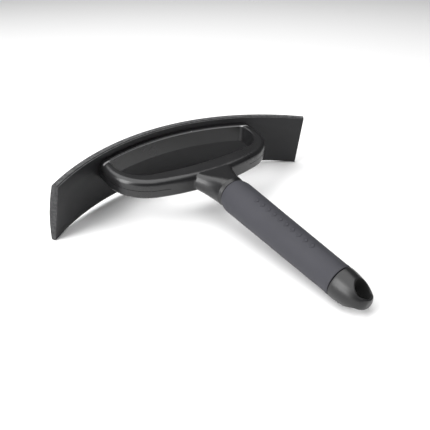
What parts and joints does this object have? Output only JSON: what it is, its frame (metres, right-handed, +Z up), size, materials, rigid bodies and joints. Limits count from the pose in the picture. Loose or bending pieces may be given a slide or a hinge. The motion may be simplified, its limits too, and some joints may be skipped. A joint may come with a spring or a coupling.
{
  "type": "horse sweat scraper",
  "caption": "Hand scraper with a curved rubber blade on a D-shaped open loop, a short neck, a soft-grip handle and an end cap with a hanging hole.",
  "frame": {"origin": "centre of the bounding box at the table, where the scraper lies on its blade's two lower corners and its end cap", "axes": "+X along the blade's chord, +Y towards the blade's outer face, +Z up; the handle points along -Y and dips 8 degrees"},
  "size_m": [0.2612, 0.2557, 0.0583],
  "materials": {
    "blade_rubber": "matte moulded rubber with cut edges",
    "rail_steel": "plain rolled strip",
    "frame_plastic": "satin moulded polypropylene",
    "tube_aluminium": "mill finish",
    "grip_rubber": "soft-touch matte",
    "cap_plastic": "polished moulded plastic"
  },
  "bodies": {
    "root": {"blade": "blade_rubber", "blade_rail": "rail_steel", "loop_frame": "frame_plastic", "core_tube": "tube_aluminium", "grip_sleeve": "grip_rubber", "end_cap": "cap_plastic"}
  },
  "joints": []
}
